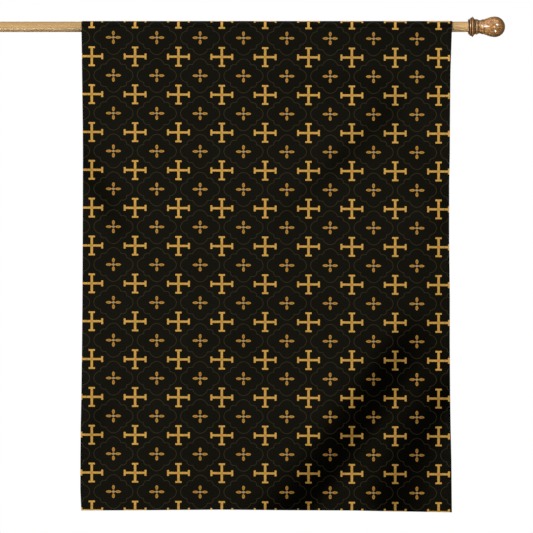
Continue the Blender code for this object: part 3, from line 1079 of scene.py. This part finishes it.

# %% [markdown]
# ## The finial
#
# The knob is turned from one block: a stepped base with two fine grooves, a bead, a waisted neck, a
# second bead and an egg-shaped bulb. It is stained red-brown under a thick gloss lacquer. Its grooves and
# the joins between its shapes are painted dark, as painted shade, and the lacquer is dulled there, which
# is what makes their lines read from far away.

# %% The finial's turned shapes, in millimetres from its base
FINIAL_SHAPES = (
    # name, where it starts, where it ends, radius at its start, radius at its end,
    # how far its middle stands out
    ("base collar", 0.0, 1.0, 14.2, 14.9, 0.0),
    ("base groove", 1.0, 2.8, 14.9, 16.0, -1.1),
    ("base bead", 2.8, 5.2, 16.0, 17.5, 0.5),
    ("ridge groove", 5.2, 6.8, 17.5, 18.6, -1.0),
    ("ridge", 6.8, 9.0, 18.6, 19.1, 0.6),
    ("ridge back", 9.0, 12.9, 19.1, 14.2, 0.0),
    ("collar bead", 12.9, 19.2, 14.2, 13.6, 0.9),
    ("neck", 19.2, 25.0, 13.6, 13.2, -0.7),
    ("neck bead", 25.0, 30.4, 13.2, 14.1, 0.7),
)
BULB_START, BULB_START_RADIUS = 30.4, 14.1
BULB_MIDDLE, BULB_RADIUS = 51.5, 19.7
BULB_HALF = FINIAL_LENGTH - BULB_MIDDLE
SOCKET_ROOM = 0.3
SHAPE_STEPS = 9
PLAIN_STEPS = 2
BULB_RISE_STEPS = 14
BULB_END_STEPS = 22


def finial_profile():
    """The blind socket that the pole's end sits in, then the turned shapes, then the bulb to its tip."""
    socket_end, socket_radius = FINIAL_BASE + SOCKET_DEPTH + SOCKET_ROOM, POLE_RADIUS + SOCKET_ROOM
    profile = [(socket_end, 0.0), (socket_end, socket_radius), (FINIAL_BASE, socket_radius)]
    for _, start, end, start_radius, end_radius, crown in FINIAL_SHAPES:
        steps = SHAPE_STEPS if crown else PLAIN_STEPS
        for step in range(steps):
            share = step / steps
            radius = start_radius + (end_radius - start_radius) * share
            radius += crown * math.sin(math.pi * share)
            profile.append((FINIAL_BASE + start + (end - start) * share, radius))
    for step in range(BULB_RISE_STEPS):
        share = step / BULB_RISE_STEPS
        radius = BULB_START_RADIUS + (BULB_RADIUS - BULB_START_RADIUS) * math.sin(0.5 * math.pi * share)
        profile.append((FINIAL_BASE + BULB_START + (BULB_MIDDLE - BULB_START) * share, radius))
    for step in range(BULB_END_STEPS):
        turn = 0.5 * math.pi * step / BULB_END_STEPS
        place = OVERALL_LENGTH - BULB_HALF * (1.0 - math.sin(turn))
        profile.append((place, BULB_RADIUS * math.cos(turn)))
    profile.append((OVERALL_LENGTH, 0.0))
    return profile


print("finial's profile has", len(finial_profile()), "points")

# %% Painted shade in the grooves
GROOVES = (
    # where its middle lies from the finial's base, half its width, how dark its painted shade is
    (1.7, 1.9, 1.0),
    (5.9, 1.4, 1.0),
    (13.4, 1.0, 0.75),
    (19.2, 0.9, 0.5),
    (25.0, 0.9, 0.5),
    (30.4, 0.7, 0.6),
)


def painted_groove_shade(tree, place):
    """A mask of painted shade that is strongest in the middle of each groove."""
    from_base = maths(tree, "MULTIPLY_ADD", parts_of(tree, place)["X"], 1.0 / MM, -FINIAL_BASE)
    lines = []
    for middle, half, dark in GROOVES:
        from_line = apart(tree, from_base, middle)
        lines.append(from_to(tree, from_line, half, 0.5 * half, 0.0, dark))
    return joined(tree, "MAXIMUM", lines)


# each of these grooves and joins is darkened with painted shade
print(len(GROOVES), "stained grooves")

# %% Finial finish
RED_WOOD = (0.22, 0.096, 0.031, 1)
RED_WOOD_LIGHT = (0.50, 0.285, 0.100, 1)
RED_WOOD_DARK = (0.12, 0.042, 0.014, 1)
# painted shade: the dark colour laid into the grooves and joins
GROOVE_PAINTED_SHADE = (0.035, 0.014, 0.006, 1)
LACQUER = {"Coat Roughness": 0.13, "Coat IOR": 1.8, "Specular IOR Level": 0.15}
FINIAL_GRAIN = {"Ring Width": 2.6, "Wobble": 2.2, "Pith Y": -27.0, "Pith Z": 15.0}
FINIAL_ROUGHNESS = (0.45, 0.6)
FIGURE_SCALE = (260.0, 420.0, 420.0)  # the wood's mottled figure
FIGURE_RANGE = (0.44, 0.60)

finial_finish, finial_tree, finial_sockets = new_finish("lacquered_red_wood", LACQUER)
finial_place = own_place(finial_tree)
finial_grain = use_group(finial_tree, grain, {"Place": finial_place, **FINIAL_GRAIN})
figure_place = scaled_place(finial_tree, finial_place, FIGURE_SCALE)
figure_noise = noise_at(finial_tree, figure_place, detail=4.0, roughness=0.62, distortion=1.6)
figure = from_to(finial_tree, figure_noise, *FIGURE_RANGE)
# the grooves' painted shade darkens the colour and thins the lacquer there
finial_painted_shade = painted_groove_shade(finial_tree, finial_place)
finial_layers = (
    (figure, 1.0, RED_WOOD_LIGHT),
    (finial_grain["Rings"], 0.55, RED_WOOD_DARK),
    (finial_grain["Pores"], 0.6, RED_WOOD_DARK),
    (finial_painted_shade, 1.0, GROOVE_PAINTED_SHADE),
)
put(finial_tree, finial_sockets["Base Color"], layered(finial_tree, RED_WOOD, finial_layers))
finial_roughness = from_to(finial_tree, finial_grain["Fibres"], 0.0, 1.0, *FINIAL_ROUGHNESS)
put(finial_tree, finial_sockets["Roughness"], finial_roughness)
put(finial_tree, finial_sockets["Coat Weight"], minus(finial_tree, 1.0, finial_painted_shade))
finial_normal = bumped(finial_tree, finial_grain["Pores"], distance=0.03 * MM, strength=0.4)
put(finial_tree, finial_sockets["Normal"], finial_normal)
print("finial's finish has", len(finial_tree.nodes), "nodes")

# %% Turn the finial
turned_finial = turned("turned_finial", finial_profile(), steps=80, finish=finial_finish, sharp_degrees=32)
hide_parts("finial")
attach(turned_finial, "root")
